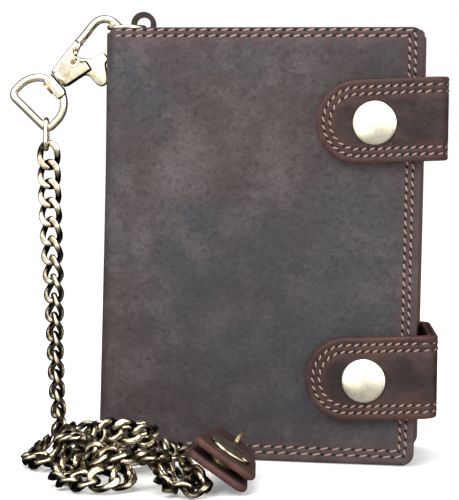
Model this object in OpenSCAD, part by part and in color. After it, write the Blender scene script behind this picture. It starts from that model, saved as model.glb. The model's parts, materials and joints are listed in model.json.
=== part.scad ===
// Upright bifold biker wallet of thick leather, slightly open, with two snap straps round its
// free edge, a leather ring tab in the spine, a swivel trigger clasp on a D-ring, and a curb
// chain that hangs to the floor, lies there in a heap and ends in a leather belt loop.
// Millimetres, +Z up. The origin is the middle of the front cover's bottom edge.

/* [Wallet] */
// Height of the covers
wallet_h = 125; // [115:1:135]
// Width of the front cover, from its fold to its free edge
front_w = 91; // [86:1:96]
// Width of the back cover, from its fold to its free edge
back_w = 93; // [88:1:98]
// Depth of the spine between the two folds
spine_d = 20; // [18:1:24]
// Thickness of the outer leather
leather_t = 1.8; // [1.4:0.1:2.2]
// Angle between the covers as the wallet stands
rest_open = 9.8; // [6:0.2:12]

/* [Straps] */
// Width of each strap
strap_w = 23.5; // [20:0.5:26]
// Length of each strap from its bend to its round tip
strap_len = 36; // [34:0.5:40]
// Tilt of the straps, rising to the free edge
strap_tilt = 3; // [0:0.5:5]
// Diameter of the snap caps
cap_d = 12.5; // [10:0.5:15]

/* [Clasp and chain] */
// Lean of the clasp above the horizontal
clasp_lean = 42; // [38:1:46]
// Wire diameter of the D-ring
d_wire = 2.3; // [1.8:0.1:2.6]
// Wire diameter of the tab ring
ring_wire = 1.5; // [1.2:0.1:1.8]
// Outer width of a chain link
link_w = 6.9; // [6:0.1:8]

/* [Belt loop] */
// Width of the belt loop at its open end
loop_w = 19.5; // [16:0.5:22]
// Width of the belt loop at its fold
loop_fold_w = 12; // [10:1:14]
// Length of the folded belt loop
loop_len = 36; // [34:1:46]
// Sideways tilt of the belt loop as it leans on the chain
loop_tilt = 34; // [30:1:45]

/* [Hidden] */
$fn = 48;

hide = "#3a2a26";
hide_edge = "#6b4038";
lining = "#2b2422";
brass = "#b79a5c";
dark_brass = "#6f5c34";
clear_film = "#cfd6d8";

half_t = leather_t / 2;
lining_t = 0.8;
card_t = 0.8;
fold_gap = 1;
corner_r = 3.5;
fold_x = -front_w * cos(rest_open) / 2;
front_fold_y = -fold_x * tan(rest_open);
back_fold_y = front_fold_y + spine_d;
mid_y = front_fold_y + spine_d / 2;
spine_h = wallet_h - 2.5;

// Closure stack, measured outwards from the middle of the front cover's leather
stud_y = -half_t - 0.8;
strap_back_y = stud_y - 0.3;
strap_lining_t = 1.4;
strap_hide_t = 1.6;
strap_mid_y = strap_back_y - strap_lining_t;
strap_face_y = strap_mid_y - strap_hide_t;
post_r = 1.9;
socket_bore_r = 2;
socket_r = 4.2;
cap_post_r = 1.5;
strap_t = strap_lining_t + strap_hide_t;
strap_bend_u = [97, 95];
strap_z = [98.7, 26];
snap_from_bend = 19.3;
anchor_leg_w = 30;

leaf_x = fold_x + 3.2;
leaf_y = front_fold_y + 6.5;
leaf_angle = 5;
leaf_w = 85;
leaf_h = 98;

pouch_x = -20;
pouch_w = 62;
pouch_h = 62;
pouch_t = 7.6;
pouch_wall = 1.2;
pouch_base_z = 4;
note_gap = 1;
back_inner_y = -half_t - lining_t;
pouch_back_y = back_inner_y - note_gap - card_t;
pouch_front_y = pouch_back_y - pouch_t;
flap_w = pouch_w - 8;
flap_x = pouch_x + 4;
flap_drop = 23;
flap_t = 1.2;
flap_axis_z = pouch_base_z + pouch_h + 1.2;
flap_face_y = pouch_front_y - 1.6;
coin_snap_z = flap_axis_z - 14;
coin_snap_x = flap_x + flap_w / 2;

collar_pos = [fold_x - 15.3, 108.7];
pivot_u = 6.9;
pivot_v = 0.8;
eye_start_u = 15.6;
eye_end_u = 20.2;
hook_r = 5.6;
eye_r = 3.1;
hook_half_t = 1.5;
body_half_t = 2.7;
trigger_half_t = 1;
pin_r = 0.85;
ring_r = 5;
ring_z = 124.1;
ring_x = fold_x - 0.3 + ring_r;
tab_half_w = 2.5;
tab_loop_r = 3.6;
tab_hole_r = 2.1;
tab_loop_z = 125.1;
d_r = 7.2;
d_side = 3.8;
d_offset = -0.5;
d_lean = 4;
d_centre_u = -8.6;
rivet_r = 0.95;
rivet_bore_r = 1;
rivet_head_r = 2;
rivet_head_u = -3.1;
rivet_head_h = 1.1;

// Route of the hanging chain, from below the first link to the heap
CHAIN_ROUTE = [
    [-62.9, 17.8, 86.6], [-62.3, 16.5, 76], [-61.5, 14.5, 62], [-60.4, 11.5, 46],
    [-59.6, 7.5, 30], [-58.4, 3, 15], [-58, 1, 9]
];
heap_low_h = 9;
heap_mound_h = 14;
belt_pos = [-4.8, -58.5, 0];
belt_turn = -6;
belt_t = 2.2;
belt_corner_r = 4;
belt_snap_from_end = 9;
belt_gap_end = 1.6;
belt_gap_fold = 1;
belt_end_top = belt_gap_end + 2 * belt_t;
belt_fold_top = belt_gap_fold + 2 * belt_t;
belt_fold_u = loop_len - belt_fold_top / 2;
belt_hinge_u = 24;
belt_hinge_slot = 0.4;
belt_ring_r = 4.5;
belt_ring_u = loop_len - 3.3;
belt_hole_u = belt_ring_u - 4.03;
belt_hole_r = 1.65;

// Extrudes an outline drawn in X and Z between two depths in Y
module slab(y_low, y_high) {
    translate([0, y_high, 0])
        rotate([90, 0, 0])
            linear_extrude(y_high - y_low)
                children();
}

// Rectangle with its two right-hand corners rounded
module sheet_outline(w, h, r) {
    square([w - r, h]);
    translate([0, r])
        square([w, h - 2 * r]);
    for (z = [r, h - r])
        translate([w - r, z])
            circle(r);
}

module in_front_cover() {
    translate([fold_x, front_fold_y, 0])
        rotate([0, 0, -rest_open])
            children();
}

module in_back_cover() {
    translate([fold_x, back_fold_y, 0])
        children();
}

// Disc whose axis points along Y
module y_disc(r, y_low, y_high) {
    translate([0, y_high, 0])
        rotate([90, 0, 0])
            cylinder(r = r, h = y_high - y_low);
}

module front_cover() {
    color(hide)
        in_front_cover()
            translate([fold_gap, 0, 0])
                slab(-half_t, half_t)
                    sheet_outline(front_w - fold_gap, wallet_h, corner_r);
}

module front_lining() {
    color(lining)
        in_front_cover()
            translate([3, 0, 1.5])
                slab(half_t, half_t + lining_t)
                    square([front_w - 5, wallet_h - 3]);
}

// One of four card slots, each sewn over the one above it
module card_slot(i) {
    slot_top = 108 - 17 * i;
    y_low = half_t + lining_t + card_t * i;
    color(hide)
        in_front_cover()
            translate([12, 0, 4])
                slab(y_low, y_low + card_t)
                    square([front_w - 16, slot_top - 4]);
}

// Stud of a snap, standing out of the front cover
module stud(i) {
    color(dark_brass)
        in_front_cover()
            translate([strap_bend_u[i] - snap_from_bend, 0, strap_snap_z(i)]) {
                y_disc(5, stud_y, -half_t);
                y_disc(post_r, strap_mid_y + 0.2, stud_y);
            }
}

function strap_snap_z(i) = strap_z[i] - snap_from_bend * sin(strap_tilt);

// Spine leather, cut back at the top and notched where the clasp's hook reaches the ring
module spine_leather() {
    color(hide)
        difference() {
            translate([fold_x - half_t, front_fold_y + fold_gap, 0])
                cube([leather_t, spine_d - 2 * fold_gap, spine_h]);
            hook_notch();
        }
}

module hook_notch() {
    notch_r = 4.5;
    notch_z = 114.3;
    translate([fold_x - 5, mid_y, notch_z])
        rotate([0, 90, 0])
            cylinder(r = notch_r, h = 10);
    translate([fold_x - 5, mid_y - notch_r, notch_z])
        cube([10, 2 * notch_r, 10]);
}

module spine_lining() {
    color(lining)
        translate([fold_x + half_t, front_fold_y + 3, 2])
            cube([lining_t, spine_d - 6, 103]);
}

// Leather tab sewn inside the spine, with a loop for the ring above the top edge
module ring_tab() {
    foot_x = fold_x + half_t;
    loop_x = ring_x + ring_r;
    y_low = mid_y - tab_half_w;
    y_high = mid_y + tab_half_w;
    color(hide_edge)
        difference() {
            union() {
                translate([loop_x, 0, tab_loop_z])
                    y_disc(tab_loop_r, y_low, y_high);
                slab(y_low, y_high)
                    polygon([
                        [foot_x, 106], [foot_x, 112], [loop_x - 2.4, 123.4],
                        [loop_x + 2.4, 123.4], [foot_x + 1.5, 108], [foot_x + 1.5, 106]
                    ]);
            }
            translate([loop_x, 0, tab_loop_z])
                y_disc(tab_hole_r, y_low - 1, y_high + 1);
        }
}

module back_cover() {
    color(hide)
        in_back_cover()
            translate([fold_gap, 0, 0])
                slab(-half_t, half_t)
                    sheet_outline(back_w - fold_gap, wallet_h, corner_r);
}

module back_lining() {
    color(lining)
        in_back_cover()
            translate([3, 0, 1.5])
                slab(back_inner_y, -half_t)
                    square([back_w - 5, wallet_h - 3]);
}

// Full-width banknote pocket: a panel on a sewn U-shaped seam, open at the top
module note_pocket() {
    pocket_w = back_w - 12;
    pocket_h = 92;
    seam_w = 3;
    panel_y = back_inner_y - note_gap;
    color(hide)
        in_back_cover()
            translate([8, 0, 3]) {
                slab(panel_y - card_t, panel_y)
                    square([pocket_w, pocket_h]);
                slab(panel_y, back_inner_y) {
                    square([pocket_w, seam_w]);
                    square([seam_w, pocket_h]);
                    translate([pocket_w - seam_w, 0])
                        square([seam_w, pocket_h]);
                }
            }
}

// Coin pouch on the banknote pocket, closed all round but for its top
module coin_pocket() {
    color(hide)
        in_back_cover()
            translate([pouch_x - fold_x, 0, pouch_base_z])
                difference() {
                    translate([0, pouch_front_y, 0])
                        cube([pouch_w, pouch_t, pouch_h]);
                    translate([pouch_wall, pouch_front_y + pouch_wall, pouch_wall])
                        cube([pouch_w - 2 * pouch_wall, pouch_t - 2 * pouch_wall, pouch_h]);
                }
}

module at_coin_snap() {
    in_back_cover()
        translate([coin_snap_x - fold_x, 0, coin_snap_z])
            children();
}

module coin_stud() {
    color(dark_brass)
        at_coin_snap()
            y_disc(1.6, pouch_front_y - 0.3, pouch_front_y);
}

// Flap over the pouch's mouth: a top that turns down over its front
module coin_flap() {
    axis_y = pouch_back_y - 0.7;
    color(hide)
        in_back_cover()
            translate([flap_x - fold_x, 0, 0])
                difference() {
                    union() {
                        translate([0, flap_face_y, flap_axis_z - flap_t / 2])
                            cube([flap_w, axis_y - flap_face_y, flap_t]);
                        translate([0, flap_face_y, flap_axis_z - flap_drop])
                            cube([flap_w, flap_t, flap_drop]);
                    }
                    translate([flap_w / 2, 0, coin_snap_z])
                        y_disc(1.2, flap_face_y - 1, flap_face_y + flap_t + 0.1);
                }
}

module coin_flap_cap() {
    color(brass)
        at_coin_snap() {
            y_disc(5, flap_face_y - 1.2, flap_face_y);
            y_disc(1.1, flap_face_y, flap_face_y + flap_t);
        }
}

module coin_flap_socket() {
    color(dark_brass)
        at_coin_snap()
            y_disc(1, flap_face_y + flap_t, flap_face_y + flap_t + 0.1);
}

module in_leaf() {
    translate([leaf_x, leaf_y, 0])
        rotate([0, 0, -leaf_angle])
            children();
}

// Leather page with a window for an identity card
module leaf_panel() {
    color(hide)
        in_leaf()
            translate([0.6, 0, 5])
                slab(-1.2, -0.1)
                    difference() {
                        sheet_outline(leaf_w, leaf_h, corner_r);
                        translate([12, 20])
                            square([58, 66]);
                    }
}

module leaf_window() {
    color(clear_film)
        in_leaf()
            translate([6, 0, 18])
                slab(-0.1, 0.2)
                    square([74, 76]);
}

module leaf_back() {
    color(lining)
        in_leaf()
            translate([0.6, 0, 5])
                slab(0.2, 1.1)
                    sheet_outline(leaf_w, leaf_h, corner_r);
}

module in_strap(i) {
    in_front_cover()
        translate([strap_bend_u[i], 0, strap_z[i]])
            rotate([0, -strap_tilt, 0])
                children();
}

// Round-ended tongue from the bend to the tip, running towards -X
module strap_outline() {
    reach = strap_len - strap_w / 2;
    translate([-reach, -strap_w / 2])
        square([reach - 2, strap_w]);
    translate([-reach, 0])
        circle(strap_w / 2);
}

module strap_layer(i, y_low, y_high, hole_r) {
    in_strap(i)
        difference() {
            slab(y_low, y_high)
                strap_outline();
            translate([-snap_from_bend, 0, 0])
                y_disc(hole_r, y_low - 1, y_high + 1);
        }
}

module strap_hide(i) {
    color(hide_edge)
        strap_layer(i, strap_face_y, strap_mid_y, cap_post_r + 0.1);
}

module strap_lining(i) {
    color(lining)
        strap_layer(i, strap_mid_y, strap_back_y, socket_r + 0.1);
}

module strap_cap(i) {
    color(brass)
        in_strap(i)
            translate([-snap_from_bend, 0, 0]) {
                y_disc(cap_d / 2, strap_face_y - 1.6, strap_face_y);
                y_disc(cap_post_r, strap_face_y, strap_mid_y);
            }
}

module strap_socket(i) {
    color(dark_brass)
        in_strap(i)
            translate([-snap_from_bend, 0, 0])
                difference() {
                    y_disc(socket_r, strap_mid_y, strap_back_y);
                    y_disc(socket_bore_r, strap_mid_y - 1, strap_back_y + 1);
                }
}

// Back part of a strap: sewn flat on the back cover and turned forward past the free edge
module strap_anchor(i) {
    back_y = back_fold_y + half_t;
    bend_x = fold_x + strap_bend_u[i] * cos(rest_open);
    axis_y = front_fold_y - strap_bend_u[i] * sin(rest_open) + strap_mid_y * cos(rest_open);
    front_y = axis_y + strap_t;
    back_x = max(bend_x, fold_x + back_w + 0.2 + strap_t / 2);
    color(hide_edge)
        translate([0, 0, strap_z[i] - strap_w / 2])
            linear_extrude(strap_w)
                polygon([
                    [bend_x - strap_t / 2, front_y], [bend_x + strap_t / 2, front_y],
                    [back_x + strap_t / 2, back_y + strap_t], [back_x - anchor_leg_w, back_y + strap_t],
                    [back_x - anchor_leg_w, back_y], [back_x - strap_t / 2, back_y]
                ]);
}

module tab_ring() {
    color(brass)
        translate([ring_x, mid_y, ring_z])
            rotate_extrude()
                translate([ring_r, 0])
                    circle(ring_wire / 2, $fn = 24);
}

// Places children drawn in the clasp's own plane: u along its axis, v across it
module in_clasp(half_thickness) {
    translate([collar_pos[0], mid_y + half_thickness, collar_pos[1]])
        rotate([90, 0, 0])
            rotate([0, 0, clasp_lean])
                linear_extrude(2 * half_thickness)
                    children();
}

// Axis along the clasp, starting at u and ending at u + length
module clasp_rod(r, u, length) {
    translate([collar_pos[0], mid_y, collar_pos[1]])
        rotate([0, -clasp_lean, 0])
            translate([u, 0, 0])
                rotate([0, 90, 0])
                    cylinder(r = r, h = length);
}

module capsule(r) {
    for (u = [eye_start_u, eye_end_u])
        translate([u, 0])
            circle(r);
    translate([eye_start_u, -r])
        square([eye_end_u - eye_start_u, 2 * r]);
}

// Cast clasp: collar, forked body that takes the trigger, and the hook round the eye
module clasp_body() {
    color(brass)
        difference() {
            union() {
                in_clasp(hook_half_t)
                    difference() {
                        capsule(hook_r);
                        capsule(eye_r);
                        translate([8, -hook_r - 1])
                            square([eye_start_u - 8, hook_r + 1]);
                    }
                in_clasp(body_half_t)
                    polygon([
                        [1, -2.7], [1, 2.9], [10, 4.5], [eye_start_u, hook_r],
                        [eye_start_u, eye_r + 0.2], [11.4, 2.4], [10.2, -1.2], [9, -4.4]
                    ]);
                clasp_rod(3.1, 0, 2.2);
            }
            trigger_slot();
            pin_bore(pin_r);
            clasp_rod(rivet_r, -1, 4);
        }
}

module trigger_slot() {
    in_clasp(trigger_half_t + 0.2)
        polygon([[3.6, -6], [3.6, 1.6], [6.6, 3.5], [12, 2.2], [12, -6]]);
}

module pin_bore(r) {
    in_clasp(body_half_t + 1)
        translate([pivot_u, pivot_v])
            circle(r);
}

module clasp_pin() {
    color(dark_brass)
        in_clasp(body_half_t + 0.1)
            translate([pivot_u, pivot_v])
                circle(pin_r);
}

// Rivet whose shank is fast in the collar and whose head is inside the D-ring
module swivel_rivet() {
    color(dark_brass) {
        clasp_rod(rivet_r, rivet_head_u, 6.1);
        clasp_rod(rivet_head_r, rivet_head_u - rivet_head_h, rivet_head_h);
    }
}

// Gate that closes the hook, with the thumb lever below it
module clasp_trigger() {
    color(brass)
        difference() {
            union() {
                in_clasp(trigger_half_t)
                    translate([pivot_u, pivot_v])
                        circle(1.9);
                in_clasp(trigger_half_t)
                    polygon([
                        [pivot_u - 1.6, pivot_v - 1], [8.6, 1.2], [11.8, -2.9], [15.3, -eye_r],
                        [15.3, -hook_r], [11.6, -hook_r], [10.9, -7.8], [7.7, -8.2]
                    ]);
                in_clasp(trigger_half_t)
                    translate([9.3, -8.1])
                        circle(1.6);
            }
            pin_bore(pin_r + 0.05);
        }
}

// Small torsion spring beside the pin, in the fork's upper corner
module trigger_spring() {
    color("silver")
        in_clasp(0.6)
            translate([4.6, -1.6])
                difference() {
                    circle(0.9, $fn = 24);
                    circle(0.5, $fn = 24);
                }
}

// Rod of the D-ring's wire between two points in the clasp's plane
module d_rod(from, to) {
    length = norm(to - from);
    turn = atan2(to[1] - from[1], to[0] - from[0]);
    in_clasp_space(d_lean)
        translate([from[0], 0, from[1]])
            rotate([0, 90 - turn, 0])
                cylinder(r = d_wire / 2, h = length);
}

module in_clasp_space(more_lean = 0) {
    translate([collar_pos[0], mid_y, collar_pos[1]])
        rotate([0, -clasp_lean - more_lean, 0])
            children();
}

// D-ring with a half-round bow, a straight bar, and the block its rivet turns in
module d_ring() {
    bar_u = d_centre_u - d_side - d_wire / 2;
    high = d_offset + d_r;
    low = d_offset - d_r;
    color(brass)
        difference() {
            union() {
                in_clasp_space(d_lean)
                    translate([d_centre_u, 0, d_offset])
                        rotate([90, 0, 0])
                            rotate([0, 0, -90])
                                rotate_extrude(angle = 180)
                                    translate([d_r, 0])
                                        circle(d_wire / 2, $fn = 24);
                d_rod([bar_u, high], [d_centre_u, high]);
                d_rod([bar_u, low], [d_centre_u, low]);
                d_rod([bar_u, low], [bar_u, high]);
                for (v = [low, high])
                    in_clasp_space(d_lean)
                        translate([bar_u, 0, v])
                            sphere(d_wire / 2, $fn = 24);
                in_clasp_space()
                    translate([-3, -2.4, -3.4])
                        cube([2.6, 4.8, 6.8]);
            }
            clasp_rod(rivet_bore_r, -5, 6);
            clasp_rod(rivet_head_r + 0.1, rivet_head_u - 2, 2.05);
        }
}

// Plain oval link that hangs in the lower corner of the D-ring
module top_link() {
    wire_r = 0.7;
    half_w = 2.5;
    half_straight = 1.8;
    color(brass)
        translate([-63.5, mid_y, 92.7])
            rotate([90, 0, 90]) {
                for (end = [0, 180])
                    rotate([0, 0, end])
                        translate([0, half_straight, 0])
                            rotate_extrude(angle = 180)
                                translate([half_w, 0])
                                    circle(wire_r, $fn = 24);
                for (side = [-half_w, half_w])
                    translate([side, half_straight, 0])
                        rotate([90, 0, 0])
                            cylinder(r = wire_r, h = 2 * half_straight, $fn = 24);
            }
}

function unit(v) = v / norm(v);
function run_direction(i) =
    let(last = len(CHAIN_ROUTE) - 1)
    unit(CHAIN_ROUTE[min(i + 1, last)] - CHAIN_ROUTE[max(i - 1, 0)]);
function run_side(i) = unit(cross(run_direction(i), [0, 1, 0]));
function run_ring(i, r, sides) = [
    for (k = [0 : sides - 1])
        CHAIN_ROUTE[i]
            + r * cos(360 * k / sides) * run_side(i)
            + r * sin(360 * k / sides) * cross(run_direction(i), run_side(i))
];

// Hanging stretch of the chain, as one tube
module chain_run() {
    sides = 8;
    rings = len(CHAIN_ROUTE);
    points = [for (i = [0 : rings - 1]) each run_ring(i, link_w * 0.45, sides)];
    walls = [
        for (i = [0 : rings - 2])
            for (k = [0 : sides - 1])
                let(a = i * sides + k, b = i * sides + (k + 1) % sides)
                [a, b, b + sides, a + sides]
    ];
    color(brass)
        polyhedron(points, concat(
            [[for (k = [sides - 1 : -1 : 0]) k]],
            walls,
            [[for (k = [0 : sides - 1]) (rings - 1) * sides + k]]
        ));
}

// Outer shape of the chain where it lies heaped on the floor
module chain_heap() {
    color(brass) {
        linear_extrude(heap_low_h)
            polygon([
                [-66, -1], [-69, -11], [-62, -24], [-57, -42], [-51, -55], [-40, -60],
                [-27, -62], [-21, -60], [-21, -36], [-22, -20], [-8, -19.5], [-8, -12],
                [-24, -11], [-38, -4], [-52, 0]
            ]);
        translate([-29, -25, 0])
            cylinder(r = 11, h = heap_mound_h);
    }
}

// Places children in the belt loop: u away from its open end, w outwards from its face
module in_belt_loop() {
    translate(belt_pos)
        rotate([0, 0, belt_turn])
            rotate([0, loop_tilt, 0])
                translate([-loop_w, 0, 0])
                    children();
}

// Extrudes a profile of length and height across the belt loop, and trims it to the loop's plan
module across_loop() {
    in_belt_loop()
        intersection() {
            rotate([90, 0, 90])
                linear_extrude(loop_w)
                    children();
            translate([0, 0, -1])
                linear_extrude(belt_fold_top + 2)
                    belt_plan();
        }
}

// Plan of the belt loop: round corners at its open end, narrower at its fold
module belt_plan() {
    taper = (loop_w - loop_fold_w) / 2;
    for (x = [belt_corner_r, loop_w - belt_corner_r])
        translate([x, belt_corner_r])
            circle(belt_corner_r);
    polygon([
        [belt_corner_r, 0], [loop_w - belt_corner_r, 0], [loop_w, belt_corner_r],
        [loop_w - taper, loop_len + 1], [taper, loop_len + 1], [0, belt_corner_r]
    ]);
}

// Lower layer and fold of the belt loop, with the hole that the chain's end ring goes through
module belt_loop() {
    outer_r = belt_fold_top / 2;
    upper_u = belt_hinge_u + belt_hinge_slot;
    color(hide_edge)
        difference() {
            across_loop() {
                difference() {
                    translate([belt_fold_u, outer_r])
                        circle(outer_r);
                    translate([belt_fold_u, outer_r])
                        circle(belt_gap_fold / 2);
                    translate([belt_fold_u - 2 * outer_r, 0])
                        square([2 * outer_r, 4 * outer_r]);
                }
                translate([upper_u, belt_fold_top - belt_t])
                    square([belt_fold_u - upper_u, belt_t]);
                square([belt_fold_u, belt_t]);
            }
            in_belt_loop()
                translate([loop_w / 2, belt_hole_u, -1])
                    cylinder(r = belt_hole_r, h = belt_fold_top + 2);
        }
}

// Upper layer of the belt loop, which lifts from the stud
module belt_flap() {
    bend_u = 2 * belt_snap_from_end;
    color(hide_edge)
        across_loop()
            polygon([
                [0, belt_end_top - belt_t], [bend_u, belt_end_top - belt_t],
                [belt_hinge_u, belt_fold_top - belt_t], [belt_hinge_u, belt_fold_top],
                [bend_u, belt_end_top], [0, belt_end_top]
            ]);
}

module belt_disc(r, w_low, w_high) {
    in_belt_loop()
        translate([loop_w / 2, belt_snap_from_end, w_low])
            cylinder(r = r, h = w_high - w_low);
}

module belt_loop_stud() {
    color(dark_brass)
        belt_disc(3.5, belt_t, belt_t + 0.6);
}

module belt_flap_cap() {
    color(brass)
        belt_disc(cap_d / 2, belt_end_top, belt_end_top + 1.6);
}

module belt_flap_socket() {
    color(dark_brass)
        belt_disc(3.5, belt_t + 0.9, belt_end_top - belt_t);
}

// Ring that joins the chain's last link to the belt loop
module end_ring() {
    color(brass)
        in_belt_loop()
            translate([loop_w / 2, belt_ring_u, belt_fold_top / 2])
                rotate([0, 90, 0])
                    rotate_extrude()
                        translate([belt_ring_r, 0])
                            circle(0.8, $fn = 24);
}

front_cover();
front_lining();
card_slot(0);  // card_slot_1
card_slot(1);  // card_slot_2
card_slot(2);  // card_slot_3
card_slot(3);  // card_slot_4
stud(0);  // stud_upper
stud(1);  // stud_lower
spine_leather();
spine_lining();
ring_tab();
back_cover();
back_lining();
note_pocket();
coin_pocket();
coin_stud();
strap_anchor(0);  // strap_upper_anchor
strap_anchor(1);  // strap_lower_anchor
coin_flap();
coin_flap_cap();
coin_flap_socket();
leaf_panel();
leaf_window();
leaf_back();
strap_hide(0);  // strap_upper
strap_lining(0);  // strap_upper_lining
strap_cap(0);  // strap_upper_cap
strap_socket(0);  // strap_upper_socket
strap_hide(1);  // strap_lower
strap_lining(1);  // strap_lower_lining
strap_cap(1);  // strap_lower_cap
strap_socket(1);  // strap_lower_socket
tab_ring();
clasp_body();
clasp_pin();
swivel_rivet();
clasp_trigger();
trigger_spring();
d_ring();
top_link();
chain_run();
chain_heap();
end_ring();
belt_loop();
belt_loop_stud();
belt_flap();
belt_flap_cap();
belt_flap_socket();
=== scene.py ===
"""Look model of the chain wallet: leather skins, stitching, snaps, clasp, curb chain and belt loop.

Lengths are written in millimetres and turned into metres where a mesh is made.
"""

import bmesh
import bpy
import json
import math
import random
from mathutils import Matrix, Vector


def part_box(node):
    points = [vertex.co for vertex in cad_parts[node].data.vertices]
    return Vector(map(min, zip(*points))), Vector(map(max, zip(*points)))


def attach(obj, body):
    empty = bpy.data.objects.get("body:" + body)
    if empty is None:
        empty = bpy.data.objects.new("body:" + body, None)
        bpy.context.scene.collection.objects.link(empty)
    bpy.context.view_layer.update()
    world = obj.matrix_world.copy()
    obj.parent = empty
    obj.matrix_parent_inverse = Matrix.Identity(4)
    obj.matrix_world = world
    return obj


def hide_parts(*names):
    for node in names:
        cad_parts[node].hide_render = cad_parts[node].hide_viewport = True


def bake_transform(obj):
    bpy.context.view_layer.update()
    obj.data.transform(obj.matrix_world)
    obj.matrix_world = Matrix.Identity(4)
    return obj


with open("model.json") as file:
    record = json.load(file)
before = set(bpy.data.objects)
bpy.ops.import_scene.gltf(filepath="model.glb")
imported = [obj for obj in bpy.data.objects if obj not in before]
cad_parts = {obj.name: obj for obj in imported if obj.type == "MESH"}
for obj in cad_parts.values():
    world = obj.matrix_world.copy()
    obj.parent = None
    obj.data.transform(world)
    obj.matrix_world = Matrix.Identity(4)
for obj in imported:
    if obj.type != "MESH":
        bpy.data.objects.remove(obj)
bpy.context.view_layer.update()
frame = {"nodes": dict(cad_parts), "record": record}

MM = 0.001
JOINTS = {joint["name"]: joint for joint in frame["record"]["behaviour"]["joints"]}
random.seed(7)


def joint_point(name):
    """Position of a joint, in millimetres."""
    return Vector(JOINTS[name]["pos_m"]) / MM


def node_box(name):
    """Lowest and highest corners of a CAD node, in millimetres."""
    low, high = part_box(name)
    return Vector(low) / MM, Vector(high) / MM


# ---------------------------------------------------------------- sizes and frames

FRONT_FOLD = joint_point("cover_open")
BACK_FOLD = joint_point("back_fold")
FOLD_X = FRONT_FOLD.x
MID_Y = (FRONT_FOLD.y + BACK_FOLD.y) / 2
WALLET_H = node_box("front_cover")[1].z
SPINE_H = node_box("spine_leather")[1].z
REST_OPEN = math.radians(9.8)
FRONT_W = 91
BACK_W = 93
LEATHER_T = 1.8
CORNER_R = 3.5
FOLD_R = 3.2
NOTCH_Z = 114.3
NOTCH_R = 4.5
SEAM_ROWS = (2.4, 4.1)

STRAP_W = 23.5
STRAP_LEN = 36
STRAP_TILT = math.radians(3)
STRAP_JUNCTION_Y = -3.4
STRAP_HIDE_T = 1.6
STRAP_LINING_T = 1.4
STRAP_BEND_U = (97, 95)
STRAP_Z = (98.7, 26)
STRAP_BACK_LEG = 27
STRAP_BEND_R = 3.2
STRAP_SEAM_ROWS = (2.1, 4.0)
SNAP_FROM_BEND = 19.3
CAP_R = 6.25

CLASP_LEAN = math.radians(42)
COLLAR = joint_point("ring_swivel")

BELT_POS = Vector((-4.8, -58.5, 0))
BELT_TURN = math.radians(-6)
BELT_TILT = math.radians(34)
BELT_W = 19.5
BELT_FOLD_W = 12
BELT_LEN = 36
BELT_T = 2.2
BELT_END_TOP = 6.0
BELT_FOLD_TOP = 5.4
BELT_HINGE_U = 24
BELT_SNAP_U = 9
BELT_CORNER_R = 4.0
THREAD_SINK = 0.16


def turned(origin, *turns):
    """Matrix of a frame at origin, turned by (angle, axis) pairs from the outside in."""
    matrix = Matrix.Translation(origin)
    for angle, axis in turns:
        matrix = matrix @ Matrix.Rotation(angle, 4, axis)
    return matrix


IN_FRONT = turned(FRONT_FOLD, (-REST_OPEN, "Z"))
IN_BACK = turned(BACK_FOLD)
IN_CLASP = turned(COLLAR, (-CLASP_LEAN, "Y"))
IN_BELT = turned(BELT_POS, (BELT_TURN, "Z"), (BELT_TILT, "Y")) @ Matrix.Translation((-BELT_W, 0, 0))


def heading_vector(heading, tilt=0.0):
    """Unit vector that points along a heading in plan, tilted upwards."""
    level = math.cos(tilt)
    return Vector((math.cos(heading) * level, math.sin(heading) * level, math.sin(tilt)))


def in_strap(i):
    """Frame of a strap's tongue, with its origin at the bend."""
    bend = Matrix.Translation((STRAP_BEND_U[i], 0, STRAP_Z[i]))
    return IN_FRONT @ bend @ Matrix.Rotation(-STRAP_TILT, 4, "Y")


# ---------------------------------------------------------------- materials


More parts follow.
